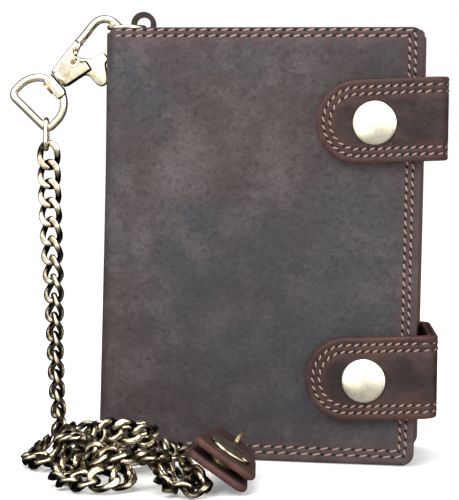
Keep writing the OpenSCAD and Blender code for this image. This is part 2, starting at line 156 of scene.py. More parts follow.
class Shader:
    """A material under construction: a principled shader and the nodes that feed it."""

    def __init__(self, name, **values):
        self.material = bpy.data.materials.new(name)
        self.material.use_nodes = True
        self.tree = self.material.node_tree
        self.tree.nodes.clear()
        self.surface = self.tree.nodes.new("ShaderNodeBsdfPrincipled")
        output = self.tree.nodes.new("ShaderNodeOutputMaterial")
        self.tree.links.new(self.surface.outputs[0], output.inputs["Surface"])
        self.place = self.tree.nodes.new("ShaderNodeTexCoord").outputs["Object"]
        for socket, value in values.items():
            self.surface.inputs[socket.replace("_", " ")].default_value = value

    def put(self, socket, value):
        """Sets a socket to a value, or links it to another node's output."""
        if isinstance(value, bpy.types.NodeSocket):
            self.tree.links.new(value, socket)
        else:
            socket.default_value = value

    def node(self, kind, **inputs):
        """Makes a node, with its inputs set or linked; a name's spaces are written as _."""
        made = self.tree.nodes.new("ShaderNode" + kind)
        for name, value in inputs.items():
            self.put(made.inputs[name.replace("_", " ")], value)
        return made

    def scaled(self, factors, turn=(0, 0, 0)):
        """Object coordinates stretched by the given factors, for a texture that has a direction."""
        return self.node("Mapping", Vector=self.place, Scale=factors, Rotation=turn).outputs["Vector"]

    def spot(self, centre, radius):
        """One at the centre, falling to zero at the radius."""
        away = [-c / radius for c in centre]
        mapping = self.node("Mapping", Vector=self.place, Location=away, Scale=[1 / radius] * 3)
        gradient = self.node("TexGradient", Vector=mapping.outputs["Vector"])
        gradient.gradient_type = "SPHERICAL"
        return gradient.outputs["Fac"]

    def noise(self, scale, detail=3, roughness=0.5, vector=None):
        """Cloudy noise between zero and one, in object coordinates unless a vector is given."""
        vector = vector or self.place
        made = self.node("TexNoise", Vector=vector, Scale=scale, Detail=detail, Roughness=roughness)
        return made.outputs["Fac"]

    def cells(self, scale):
        """Distance to the nearest of scattered points."""
        return self.node("TexVoronoi", Vector=self.place, Scale=scale).outputs["Distance"]

    def attribute(self, name):
        """A value that the mesh carries at each point."""
        made = self.node("Attribute")
        made.attribute_name = name
        return made.outputs["Fac"]

    def ranged(self, value, low, high, out_low=0.0, out_high=1.0):
        """Smooth step of a value between low and high, as a value between the two outputs."""
        made = self.node(
            "MapRange", Value=value, From_Min=low, From_Max=high, To_Min=out_low, To_Max=out_high
        )
        made.interpolation_type = "SMOOTHSTEP"
        return made.outputs["Result"]

    def math(self, operation, a, b):
        """Result of a calculation on two values."""
        made = self.node("Math")
        made.operation = operation
        self.put(made.inputs[0], a)
        self.put(made.inputs[1], b)
        return made.outputs[0]

    def mix(self, factor, a, b):
        """Colour between a and b."""
        made = self.node("Mix")
        made.data_type = "RGBA"
        self.put(made.inputs[0], factor)
        self.put(made.inputs[6], a)
        self.put(made.inputs[7], b)
        return made.outputs[2]

    def bump(self, height, strength, distance, below=None):
        """Normal of a surface raised by height, on top of the bumps below it."""
        made = self.node("Bump", Strength=strength, Distance=distance, Height=height)
        if below:
            self.put(made.inputs["Normal"], below)
        return made.outputs["Normal"]

    def set(self, socket, value):
        self.put(self.surface.inputs[socket], value)


def rgb(red, green, blue):
    return (red, green, blue, 1)


def waxed_leather(name, main, second, edge, scuff, painted_shade=False):
    """Waxed pull-up leather: cloudy colour, fine grain, faint scuffs and burnished edges.

    With painted_shade set, the leather gets painted shade in two places: toward the lower middle and at
    the top right.
    """
    shader = Shader(name)
    cloud = shader.ranged(shader.noise(16, 4, 0.6), 0.4, 0.6)
    colour = shader.mix(cloud, main, second)
    worn = shader.ranged(shader.noise(26, 5, 0.7), 0.46, 0.7)
    colour = shader.mix(shader.math("MULTIPLY", worn, 0.7), colour, scuff)
    blotch = shader.ranged(shader.noise(110, 5, 0.7), 0.44, 0.68)
    colour = shader.mix(shader.math("MULTIPLY", blotch, 0.6), colour, scuff)
    speckle = shader.ranged(shader.noise(620, 4, 0.7), 0.36, 0.52, 0.45, 0.0)
    colour = shader.mix(speckle, colour, rgb(0.014, 0.011, 0.012))
    if painted_shade:
        # Painted shade: a cool darkening toward the lower middle, then a darker patch at the top right.
        dark = shader.ranged(shader.spot((0.004, -0.004, 0.032), 0.062), 0.0, 0.75, 0.0, 0.42)
        colour = shader.mix(dark, colour, LOW_PAINTED_SHADE)
        dark = shader.ranged(shader.spot((0.05, -0.01, 0.108), 0.05), 0.0, 0.8, 0.0, 0.62)
        colour = shader.mix(dark, colour, rgb(0.02, 0.0135, 0.0135))
    streaks = shader.noise(1, 4, 0.6, shader.scaled((900, 900, 60), (0, 0.6, 0)))
    streak_mask = shader.math("MULTIPLY", shader.ranged(streaks, 0.62, 0.8), 0.35)
    colour = shader.mix(streak_mask, colour, scuff)
    pores = shader.ranged(shader.noise(2600, 2, 0.5), 0.3, 0.5, 0.35, 0.0)
    colour = shader.mix(pores, colour, rgb(0.012, 0.009, 0.008))
    uneven = shader.ranged(shader.noise(300), 0.3, 0.7, 0.5, 1.0)
    burnish = shader.math("MULTIPLY", shader.attribute("edge"), uneven)
    colour = shader.mix(burnish, colour, edge)
    shader.set("Base Color", colour)
    shader.set("Roughness", shader.ranged(shader.noise(60, 4), 0.3, 0.7, 0.44, 0.62))
    grain = shader.bump(shader.cells(1500), 0.35, 0.00012)
    grain = shader.bump(shader.noise(420, 5, 0.6), 0.55, 0.0004, grain)
    grain = shader.bump(shader.noise(60, 4, 0.6), 0.5, 0.0014, grain)
    shader.set("Normal", grain)
    shader.surface.inputs["Specular IOR Level"].default_value = 0.26
    return shader.material


def woven_lining():
    shader = Shader("woven_lining", Roughness=0.85)
    warp = shader.noise(1, 2, 0.5, shader.scaled((2200, 2200, 150)))
    weft = shader.noise(1, 2, 0.5, shader.scaled((150, 150, 2200)))
    weave = shader.math("MAXIMUM", warp, weft)
    shader.set("Base Color", shader.mix(weave, rgb(0.012, 0.01, 0.01), rgb(0.05, 0.042, 0.04)))
    shader.set("Normal", shader.bump(weave, 0.5, 0.0002))
    return shader.material


def brass(name, bright, dull, roughness, brushed=False):
    """Antique brass: polished where it is rubbed, dull in patches, and black where dark_hollows_and_shade
    is high: tarnish in hollows and painted shade on edges turned from the light.
    """
    shader = Shader(name, Metallic=1.0)
    patches = shader.ranged(shader.noise(220, 4, 0.6), 0.4, 0.68)
    colour = shader.mix(patches, bright, dull)
    # Blackening from the mesh: tarnish in hollows together with painted shade on edges and flanks turned
    # from the light.
    colour = shader.mix(shader.attribute("dark_hollows_and_shade"), colour, rgb(0.018, 0.014, 0.01))
    shader.set("Base Color", colour)
    vector = shader.scaled((5200, 5200, 260)) if brushed else shader.place
    marks = shader.noise(1 if brushed else 900, 4, 0.6, vector)
    shader.set("Roughness", shader.ranged(marks, 0.25, 0.75, roughness - 0.07, roughness + 0.09))
    shader.set("Normal", shader.bump(marks, 0.25 if brushed else 0.12, 0.00006))
    return shader.material


def thread():
    shader = Shader("thread", Roughness=0.6)
    ply_twist_and_highlight = shader.noise(1, 2, 0.5, shader.scaled((1800, 1800, 5200), (0, 0.8, 0)))
    # The light end of the mix is painted highlight on the plies; the pattern follows the thread's twist.
    shader.set("Base Color", shader.mix(ply_twist_and_highlight, rgb(0.13, 0.068, 0.052), rgb(0.48, 0.31, 0.25)))
    shader.set("Normal", shader.bump(ply_twist_and_highlight, 0.5, 0.0001))
    return shader.material


def needle_hole():
    # Near-black discs at each needle hole: painted shade for the inside of the hole.
    shader = Shader("needle_hole", Roughness=0.95)
    dark = shader.mix(shader.noise(900), rgb(0.004, 0.003, 0.003), rgb(0.012, 0.008, 0.007))
    shader.set("Base Color", dark)
    return shader.material


def spring_steel():
    shader = Shader("spring_steel", Metallic=1.0)
    shader.set("Base Color", shader.mix(shader.noise(500), rgb(0.35, 0.35, 0.36), rgb(0.6, 0.6, 0.6)))
    shader.set("Roughness", shader.ranged(shader.noise(900), 0.3, 0.7, 0.25, 0.4))
    return shader.material


def clear_film():
    shader = Shader("clear_film", Roughness=0.08, Transmission_Weight=1.0, IOR=1.45)
    shader.set("Base Color", shader.mix(shader.noise(40), rgb(0.86, 0.88, 0.88), rgb(0.93, 0.95, 0.95)))
    shader.set("Normal", shader.bump(shader.noise(90), 0.15, 0.0005))
    return shader.material


BROWN = rgb(0.049, 0.0335, 0.034)
GREY = rgb(0.0405, 0.04, 0.046)
SCUFF = rgb(0.09, 0.073, 0.075)
EDGE_RED = rgb(0.07, 0.028, 0.023)
# Colour of the painted shade toward the lower middle of the covers.
LOW_PAINTED_SHADE = rgb(0.016, 0.022, 0.027)
HIDE = waxed_leather("hide", BROWN, GREY, EDGE_RED, SCUFF, painted_shade=True)
STRAP_HIDE = waxed_leather(
    "strap_hide",
    main=rgb(0.0155, 0.007, 0.0062),
    second=rgb(0.0098, 0.0058, 0.0056),
    edge=rgb(0.08, 0.03, 0.024),
    scuff=rgb(0.055, 0.029, 0.025),
)
LINING = woven_lining()
ANTIQUE = brass("antique_brass", rgb(1.0, 0.93, 0.74), rgb(0.9, 0.78, 0.54), 0.22)
CAP = brass("snap_cap", rgb(1.0, 0.95, 0.79), rgb(0.97, 0.88, 0.68), 0.3, brushed=True)
POLISHED_CAP = brass("polished_snap_cap", rgb(0.62, 0.55, 0.4), rgb(0.4, 0.34, 0.23), 0.13)
DARK_BRASS = brass("dark_brass", rgb(0.34, 0.27, 0.16), rgb(0.16, 0.12, 0.07), 0.36)
CHAIN = brass("chain_brass", rgb(1.0, 0.88, 0.64), rgb(0.78, 0.64, 0.42), 0.2)
THREAD = thread()
HOLE_SHADE = needle_hole()
STEEL = spring_steel()
FILM = clear_film()

SLOT_MATERIALS = {
    "hide": HIDE,
    "strap_hide": STRAP_HIDE,
    "lining": LINING,
    "antique_brass": ANTIQUE,
    "snap_cap": CAP,
    "dark_brass": DARK_BRASS,
    "chain_brass": CHAIN,
    "spring_steel": STEEL,
    "clear_film": FILM,
}


def paint_cad_nodes():
    """Gives every CAD node the full material of its slot, and darkens the end ring."""
    for part in frame["record"]["subparts"]:
        node = frame["nodes"][part["node"]]
        node.data.materials.clear()
        node.data.materials.append(SLOT_MATERIALS[part["material_slot"]])
    frame["nodes"]["end_ring"].data.materials[0] = DARK_BRASS


# ---------------------------------------------------------------- mesh making


class Builder:
    """Points, faces and per-point values of one piece, in millimetres."""

    def __init__(self):
        self.points = []
        self.faces = []
        self.values = []

    def add(self, point, value=0.0):
        self.points.append(Vector(point))
        self.values.append(value)
        return len(self.points) - 1

    def grid(self, rows, closed_rows=False, closed_columns=False, flip=False):
        """Quads over rows of point numbers."""
        count = len(rows[0])
        last_row = len(rows) if closed_rows else len(rows) - 1
        last_column = count if closed_columns else count - 1
        for i in range(last_row):
            upper = rows[i]
            lower = rows[(i + 1) % len(rows)]
            for j in range(last_column):
                k = (j + 1) % count
                face = [upper[j], upper[k], lower[k], lower[j]]
                self.faces.append(face[::-1] if flip else face)

    def cap(self, ring, flip=False):
        """A fan from a ring's middle."""
        middle = sum((self.points[i] for i in ring), Vector()) / len(ring)
        centre = self.add(middle, self.values[ring[0]])
        for j, a in enumerate(ring):
            b = ring[(j + 1) % len(ring)]
            self.faces.append([centre, b, a] if flip else [centre, a, b])

    def make(self, name, material, slot, value_name=None, matrix=None, merge=False, angle=None):
        """Makes the object, placed by matrix and turned into metres.

        value_name names the attribute that holds the per-point values. A fold sharper than
        angle keeps a hard edge.
        """
        matrix = matrix or Matrix.Identity(4)
        mesh = bpy.data.meshes.new(name)
        mesh.from_pydata([(matrix @ p) * MM for p in self.points], [], self.faces)
        if value_name:
            attribute = mesh.attributes.new(value_name, "FLOAT", "POINT")
            attribute.data.foreach_set("value", self.values)
        mesh.materials.append(material)
        mesh.polygons.foreach_set("use_smooth", [True] * len(mesh.polygons))
        piece = bpy.data.objects.new(name, mesh)
        bpy.context.scene.collection.objects.link(piece)
        tidy_mesh(mesh, merge)
        if angle is not None:
            mesh.set_sharp_from_angle(angle=angle)
        return piece if slot else piece


def tidy_mesh(mesh, merge):
    """Turns every face outwards, and merges doubled points if merge is set."""
    work = bmesh.new()
    work.from_mesh(mesh)
    if merge:
        bmesh.ops.remove_doubles(work, verts=work.verts, dist=2e-7)
    bmesh.ops.recalc_face_normals(work, faces=work.faces)
    work.to_mesh(mesh)
    work.free()


def between(a, b, share):
    return a + (b - a) * share


def spread(low, high, step):
    """Evenly spaced values from low to high, about step apart."""
    count = max(1, round((high - low) / step))
    return [between(low, high, k / count) for k in range(count + 1)]


NEAR_EDGE = (0, 0.06, 0.2, 0.42, 0.75, 1.2, 1.7, 2.1, 2.5, 3.0, 3.5, 3.9, 4.3, 5.0)


def edge_spaced(low, high, step, both=True):
    """Values from low to high, close together near the free edges."""
    reach = NEAR_EDGE[-1]
    start = [low + d for d in NEAR_EDGE] if both else [low]
    inner_low = low + reach if both else low
    middle = spread(inner_low, high - reach, step)[1:-1]
    end = [high - d for d in reversed(NEAR_EDGE)]
    return start + middle + end


def box_border(x, z, width, height, radius):
    """Distance from a point inside a sheet to its edge, with the corners at width rounded."""
    across = x - width + radius
    up = abs(z - height / 2) - height / 2 + radius
    outside = math.hypot(max(across, 0), max(up, 0))
    return radius - outside - min(max(across, up), 0)


def rounded(distance, radius):
    """Share of the half thickness that is left at a distance from the edge."""
    if distance >= radius:
        return 1.0
    return math.sqrt(max(0.0, 1 - (1 - max(distance, 0) / radius) ** 2))


def stitch_dent(distance, rows, depth):
    """How far the stitch rows pull the surface in."""
    return sum(depth * math.exp(-(((distance - row) / 0.5) ** 2)) for row in rows)


def no_dent(u, v, distance):
    """Surface that nothing pulls in."""
    return 0.0


def skin(surface, columns, rows_of, border, half_t, dent, lift=0.0, ends=(True, True)):
    """A sheet of leather with rounded edges.

    surface(u, v) gives the middle of the sheet and its outward normal; rows_of(u) gives the
    v values of a column; border(u, v) gives the distance to the nearest free edge. ends says
    which of the first and last columns are free edges.
    """
    build = Builder()
    outer = []
    inner = []
    for u in columns:
        outer_column = []
        inner_column = []
        for v in rows_of(u):
            middle, normal = surface(u, v)
            distance = border(u, v)
            thick = half_t * rounded(distance, half_t * 0.95)
            seam_band = 0.4 * min(1.0, max(0.0, (6.4 - distance) / 1.6))
            edge = max(seam_band, 1 - distance / 1.1)
            face = thick - dent(u, v, distance) * min(1, distance / 1.2)
            outer_column.append(build.add(middle + normal * (face + lift), edge))
            inner_column.append(build.add(middle - normal * (thick - lift), edge))
        outer.append(outer_column)
        inner.append(inner_column)
    build.grid(outer)
    build.grid(inner, flip=True)
    if not ends[0]:
        build.grid([outer[0], inner[0]])
    if not ends[1]:
        build.grid([outer[-1], inner[-1]], flip=True)
    return build


def stitches(build_thread, build_hole, spots, surface_point, slant=0.3, width=0.27):
    """Slanted stitches between neighbouring spots, with a needle hole at each spot.

    surface_point(spot) gives the place on the leather and its outward normal.
    """
    placed = [surface_point(spot) for spot in spots]
    for (a, normal_a), (b, normal_b) in zip(placed, placed[1:]):
        along = b - a
        length = along.length
        along.normalize()
        normal = (normal_a + normal_b).normalized()
        side = normal.cross(along)
        wobble = random.uniform(-0.06, 0.06)
        rings = []
        for k in range(7):
            t = k / 6 * 2 - 1
            swell = math.sqrt(max(0.04, 1 - t ** 4))
            centre = (a + b) / 2 + along * (t * length * 0.36) + side * ((slant + wobble) * t)
            centre += normal * (0.22 * (1 - t * t) - 0.1)
            ring = []
            for m in range(6):
                turn = math.tau * m / 6
                offset = side * (math.cos(turn) * width * swell)
                offset += normal * (math.sin(turn) * 0.27 * swell)
                ring.append(build_thread.add(centre + offset))
            rings.append(ring)
        build_thread.grid(rings, closed_columns=True)
        build_thread.cap(rings[0], flip=True)
        build_thread.cap(rings[-1])
    # Each needle hole is a near-black disc on the leather: painted shade where the hole is.
    for k, (spot, normal) in enumerate(placed):
        neighbour = placed[k + 1][0] if k + 1 < len(placed) else placed[k - 1][0]
        along = (neighbour - spot).normalized()
        side = normal.cross(along)
        rim = []
        rise = []
        for m in range(10):
            turn = math.tau * m / 10
            flat = along * (math.cos(turn) * 0.64) + side * (math.sin(turn) * 0.55)
            rim.append(build_hole.add(spot + flat - normal * 0.12))
            rise.append(build_hole.add(spot + flat * 0.85 + normal * 0.05))
        build_hole.grid([rim, rise], closed_columns=True)
        build_hole.cap(rim, flip=True)
        build_hole.cap(rise)


def polyline_length(points):
    return sum((b - a).length for a, b in zip(points, points[1:]))


def resample(points, pitch):
    """Points about pitch apart along a polyline."""
    lengths = [0.0]
    for a, b in zip(points, points[1:]):
        lengths.append(lengths[-1] + (b - a).length)
    count = max(1, round(lengths[-1] / pitch))
    out = []
    k = 0
    for step in range(count + 1):
        target = lengths[-1] * step / count
        while k < len(points) - 2 and lengths[k + 1] < target:
            k += 1
        span = lengths[k + 1] - lengths[k]
        share = (target - lengths[k]) / span if span else 0
        out.append(points[k].lerp(points[k + 1], share))
    return out


def smooth_line(points, steps):
    """Catmull-Rom curve through the points."""
    ends = [points[0] * 2 - points[1]] + list(points) + [points[-1] * 2 - points[-2]]
    out = []
    for a, b, c, d in zip(ends, ends[1:], ends[2:], ends[3:]):
        for k in range(steps):
            t = k / steps
            line = b * 2 + (c - a) * t
            line += (a * 2 - b * 5 + c * 4 - d) * t * t
            line += (b * 3 - a - c * 3 + d) * t ** 3
            out.append(line / 2)
    out.append(points[-1].copy())
    return out


def tube(build, line, radius_of, up, sides=14, closed=False, flatten=1.0):
    """A rod along a line; radius_of(share) gives its radius, and flatten its height across up."""
    rings = []
    count = len(line)
    for k, point in enumerate(line):
        after = line[(k + 1) % count] if closed else line[min(k + 1, count - 1)]
        before = line[k - 1] if closed or k else line[0]
        along = (after - before).normalized()
        side = along.cross(up).normalized()
        high = side.cross(along)
        radius = radius_of(k / (count - 1))
        ring = []
        for m in range(sides):
            turn = math.tau * m / sides
            offset = side * (math.cos(turn) * radius) + high * (math.sin(turn) * radius * flatten)
            ring.append(build.add(point + offset))
        rings.append(ring)
    build.grid(rings, closed_rows=closed, closed_columns=True)
    if not closed:
        build.cap(rings[0], flip=True)
        build.cap(rings[-1])


def turned_shape(build, profile, sides=48, value_of=None):
    """Revolves (radius, height) pairs round the local Z axis."""
    rings = []
    for radius, height in profile:
        value = value_of(radius, height) if value_of else 0.0
        ring = []
        for k in range(sides):
            turn = math.tau * k / sides
            ring.append(build.add((radius * math.cos(turn), radius * math.sin(turn), height), value))
        rings.append(ring)
    build.grid(rings, closed_columns=True)
    build.cap(rings[0], flip=True)
    build.cap(rings[-1])


def pillow(build, outline, half_t, edge_r, shade=0.0):
    """A cast plate: an outline in (x, z), with its edges rounded to edge_r, thick along y.

    shade is how dark the painted shade is on the edges that face down and along.
    """
    count = len(outline)
    normals = []
    for k in range(count):
        along = (outline[(k + 1) % count] - outline[k - 1]).normalized()
        normals.append(Vector((along.y, -along.x)))
    middle = sum(outline, Vector((0, 0))) / count
    if sum((p - middle).dot(n) for p, n in zip(outline, normals)) < 0:
        normals = [-n for n in normals]
    rings = []
    for step in range(9):
        turn = math.pi * (step / 8 - 0.5)
        inset = edge_r * (1 - math.cos(turn))
        flat_half = math.copysign(half_t - edge_r, turn) if turn else 0.0
        depth = flat_half + edge_r * math.sin(turn)
        ring = []
        for point, normal in zip(outline, normals):
            # Painted shade on the rounded edges that face down and along, away from the light.
            edge_shade = shade * max(0.0, -normal.y, normal.x * 0.8) * (1 if 0 < step < 8 else 0)
            place = (point.x - normal.x * inset, depth, point.y - normal.y * inset)
            ring.append(build.add(place, min(1.0, edge_shade)))
        rings.append(ring)
    build.grid(rings, closed_columns=True)
    build.cap(rings[0], flip=True)
    build.cap(rings[-1])


def rounded_outline(corners, radius):
    """Closed outline through (x, z) corners, each rounded by radius."""
    out = []
    steps = 5
    count = len(corners)
    for k in range(count):
        corner = Vector(corners[k])
        before = Vector(corners[k - 1]) - corner
        after = Vector(corners[(k + 1) % count]) - corner
        reach = min(radius, before.length * 0.45, after.length * 0.45)
        start = corner + before.normalized() * reach
        end = corner + after.normalized() * reach
        for step in range(steps + 1):
            t = step / steps
            out.append(start.lerp(corner, t).lerp(corner.lerp(end, t), t))
    return out


# ---------------------------------------------------------------- camera, floor and light


def make_camera():
    """The photograph's view: a long lens in front of the wallet, looking a little down."""
    camera = bpy.data.objects.new("camera", bpy.data.cameras.new("camera"))
    bpy.context.scene.collection.objects.link(camera)
    camera.data.lens = 147.8
    camera.data.sensor_width = 36
    camera.data.clip_start = 0.05
    pitch_down = math.radians(3.64)
    roll = math.radians(0.68)
    look = Matrix.Rotation(math.radians(90) - pitch_down, 4, "X") @ Matrix.Rotation(roll, 4, "Z")
    camera.matrix_world = Matrix.Translation((-0.0093, -0.5861, 0.0977)) @ look
    bpy.context.scene.camera = camera


def make_floor():
    mesh = bpy.data.meshes.new("floor")
    size = 6
    corners = [(-size, -size, 0), (size, -size, 0), (size, size, 0), (-size, size, 0)]
    mesh.from_pydata(corners, [], [(0, 1, 2, 3)])
    floor = bpy.data.objects.new("floor", mesh)
    floor.location.z = -0.0002
    bpy.context.scene.collection.objects.link(floor)
    shader = Shader("floor", Roughness=0.9)
    shader.set("Base Color", shader.mix(shader.noise(3), rgb(0.9, 0.9, 0.9), rgb(0.93, 0.93, 0.93)))
    shader.surface.inputs["Emission Color"].default_value = (1, 1, 1, 1)
    shader.surface.inputs["Emission Strength"].default_value = 0.14
    mesh.materials.append(shader.material)
    floor.visible_glossy = False


def make_world():
    """White surroundings, but polished metal sees a dark room behind and below the object."""
    world = bpy.data.worlds.new("world")
    bpy.context.scene.world = world
    world.use_nodes = True
    tree = world.node_tree
    tree.nodes.clear()

    def node(kind, **inputs):
        """Makes a node; i0, i1 and so on set or link its sockets by number."""
        made = tree.nodes.new("ShaderNode" + kind)
        for name, value in inputs.items():
            socket = made.inputs[int(name[1:])]
            if isinstance(value, bpy.types.NodeSocket):
                tree.links.new(value, socket)
            else:
                socket.default_value = value
        return made

    direction = node("TexCoord").outputs["Generated"]
    parts = node("SeparateXYZ", i0=direction).outputs
    behind = node("MapRange", i0=parts["Y"], i1=-0.35, i2=0.3, i3=1.0, i4=0.0).outputs["Result"]
    above = node("MapRange", i0=parts["Z"], i1=-0.55, i2=-0.05, i3=0.15, i4=1.0).outputs["Result"]
    cloud = node("TexNoise", i0=direction, i2=1.7, i3=2.0)
    gaps = node("MapRange", i0=cloud.outputs[0], i1=0.4, i2=0.5, i3=0.25, i4=1.0).outputs["Result"]
    lit = node("Math", i0=behind, i1=above)
    lit.operation = "MULTIPLY"
    patchy = node("Math", i0=lit.outputs[0], i1=gaps)
    patchy.operation = "MULTIPLY"
    level = node("MapRange", i0=patchy.outputs[0], i1=0.0, i2=1.0, i3=0.02, i4=2.5).outputs["Result"]
    room = node("Background", i1=level)
    room.inputs[0].default_value = (1, 0.985, 0.95, 1)
    plain = node("Background", i0=(1, 1, 1, 1), i1=1.0)
    ray = node("LightPath").outputs["Is Glossy Ray"]
    both = node("MixShader", i0=ray, i1=plain.outputs[0], i2=room.outputs[0])
    tree.links.new(both.outputs[0], node("OutputWorld").inputs["Surface"])


def make_light():
    make_world()
    lamps = (
        ("key", (-0.45, -0.8, 0.7), 0.45, 7),
        ("fill", (0.6, -0.7, 0.4), 0.5, 3),
        ("top", (0.05, -0.05, 0.9), 0.5, 3),
    )
    for name, place, size, power in lamps:
        light = bpy.data.lights.new(name, "AREA")
        light.size = size
        light.energy = power
        lamp = bpy.data.objects.new(name, light)
        lamp.location = place
        aim = Vector((0, 0, 0.06)) - Vector(place)
        lamp.rotation_euler = aim.to_track_quat("-Z", "Y").to_euler()
        bpy.context.scene.collection.objects.link(lamp)
    bpy.context.scene.view_settings.view_transform = "Standard"


# ---------------------------------------------------------------- chain

LINK_PITCH = 5.6
LINK_HALF_LONG = 3.63
LINK_HALF_WIDE = 2.55
LINK_WIRE_R = 0.93
LINK_TWIST = -1.25
LINK_FLAT = 1.5

HEAP_MIDDLE_X = -36
HEAP_NARROWING = 0.92

# The hanging stretch follows part.scad's route, and the rest winds through the heap's solid.
HANGING_ROUTE = (
    (-62.8, 17.75, 89.4), (-62.6, 17.7, 84), (-62.3, 16.5, 76), (-61.5, 14.5, 62),
    (-60.4, 11.5, 46), (-59.6, 7.5, 30), (-58.4, 3, 15),
)
HEAP_ROUTE = (
    (-59.5, -1, 8.8), (-63.6, -5.5, 4.6), (-66.8, -12, 2.6), (-65.5, -19.5, 2.6), (-60.5, -23, 2.8),
    (-58, -16, 2.9), (-57.5, -8.5, 2.9), (-52, -4.5, 2.9), (-49, -10.5, 3), (-51.5, -18, 3),
    (-50.5, -25.5, 3), (-45, -23, 3.2), (-43.5, -15.5, 3.2), (-42.5, -8, 3), (-36.5, -5, 2.8),
    (-31, -9.5, 3),
    (-31.5, -17, 3.2), (-37, -23, 3.4), (-44, -28.5, 3.2), (-51, -34.5, 3), (-55.5, -42, 2.6),
    (-53.5, -50.5, 2.6), (-47, -56.5, 2.8), (-39.3, -56, 3), (-35, -50, 3.4), (-37.5, -42.5, 5.2),
    (-44, -36.5, 8.8), (-50, -29.5, 9.6), (-55, -22.5, 9.4), (-57.5, -15, 9), (-54, -9, 8.8),
    (-47.5, -10, 9.8), (-42, -15.5, 11.2), (-36.5, -19.5, 11.6), (-31, -24, 10.8), (-31.5, -31.5, 11.2),
    (-38.5, -34.5, 13.6), (-45, -39.5, 13.6), (-47, -46.5, 9.8), (-42, -52, 9), (-35, -53.5, 9.6),
    (-29.5, -49.5, 8.8), (-26.5, -43, 6.4), (-25.6, -50, 3), (-25.2, -57, 2.6), (-21, -62, 2.6),
    (-15.8, -58, 2.6), (-16.6, -50.5, 2.6), (-20, -45, 2.8), (-19, -38.5, 3), (-24, -35.5, 3.2),
    (-26, -29, 6), (-24.5, -21.5, 7.6), (-19, -16.6, 5.2), (-13, -15.2, 4.6), (-8.6, -18.2, 6.6),
)


def link(build, centre, along, across):
    """One twisted curb link, with its broad faces ground flat, and its inner side and flanks darkened:
    tarnish in the hollows and painted shade.
    """
    up = along.cross(across).normalized()
    across = up.cross(along).normalized()
    steps = 28
    sides = 10
    middles = []
    for k in range(steps):
        phi = math.tau * k / steps
        x = LINK_HALF_LONG * math.cos(phi)
        y = LINK_HALF_WIDE * math.copysign(abs(math.sin(phi)) ** 0.9, math.sin(phi))
        z = LINK_TWIST * math.sin(2 * phi)
        middles.append(Vector((x, y, z)))
    rings = []
    for k, middle in enumerate(middles):
        tangent = (middles[(k + 1) % steps] - middles[k - 1]).normalized()
        outward = Vector((middle.x, middle.y, 0)).normalized()
        high = tangent.cross(outward).normalized()
        outward = high.cross(tangent).normalized()
        ring = []
        for m in range(sides):
            turn = math.tau * m / sides
            point = middle + (outward * math.cos(turn) + high * math.sin(turn)) * LINK_WIRE_R
            flat_z = max(-LINK_FLAT, min(LINK_FLAT, point.z))
            # inside is tarnish and painted shade on the wire's inner side, where the links nest; low is
            # painted shade on the flanks between the flat faces.
            inside = max(0.0, -math.cos(turn))
            low = 1 - abs(flat_z) / LINK_FLAT
            dark_hollows_and_shade = min(1.0, inside * 0.7 + max(0.0, low - 0.08) * 1.9)
            place = centre + along * point.x + across * point.y + up * flat_z
            ring.append(build.add(place, dark_hollows_and_shade))
        rings.append(ring)
    build.grid(rings, closed_rows=True, closed_columns=True)


def chain_roll(share):
    """Roll of the chain about its own line: face on at the top, turning on its way down."""
    turns = ((0, 0), (0.025, 0.12), (0.06, 0.65), (0.1, 1.0), (0.16, 1.2), (0.2, 0.9), (0.3, 0.2))
    for (a, low), (b, high) in zip(turns, turns[1:]):
        if share <= b:
            return between(low, high, (share - a) / (b - a))
    return 0.2 + 1.1 * math.sin((share - 0.3) * 34) * min(1, (share - 0.3) * 20)


def heaped(point):
    """Draws the left side of the heap in a little, so that its loops lie close together."""
    x, y, z = point
    if x < HEAP_MIDDLE_X:
        x = HEAP_MIDDLE_X + (x - HEAP_MIDDLE_X) * HEAP_NARROWING
    return Vector((x, y, z))


def make_chain():
    """The curb chain from the oval link below the D-ring to the ring on the belt loop."""
    route = [Vector(p) for p in HANGING_ROUTE] + [heaped(p) for p in HEAP_ROUTE]
    line = smooth_line(route, 24)
    centres = resample(line, LINK_PITCH)
    build = Builder()
    count = len(centres)
    side = Vector((1, 0, 0))
    for k in range(count - 1):
        centre = centres[k].lerp(centres[k + 1], 0.5)
        along = (centres[k + 1] - centres[k]).normalized()
        side = (side - along * side.dot(along)).normalized()
        roll = chain_roll(k / count)
        across = Matrix.Rotation(roll, 3, along) @ side
        reach = abs(across.z) * (LINK_HALF_WIDE + LINK_WIRE_R)
        reach += abs(along.cross(across).z) * LINK_FLAT
        reach += abs(along.z) * LINK_WIRE_R
        centre.z = max(centre.z, reach + 0.05)
        link(build, centre, along, across)
        if k > count * 0.3:
            flat = Vector((0, 0, 1)).cross(along)
            if flat.length > 0.3:
                side = side.lerp(flat.normalized() * math.copysign(1, flat.dot(side)), 0.35)
    piece = build.make("curb_chain", CHAIN, "chain_brass", "dark_hollows_and_shade")
    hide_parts("chain_run", "chain_heap")
    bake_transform(piece)
    path = [p * MM for p in line[::3]]
    belt = [frame["nodes"][name] for name in ("end_ring", "belt_loop_stud", "belt_flap_socket")]
    return piece, path, polyline_length(line) * MM, belt


# ---------------------------------------------------------------- covers


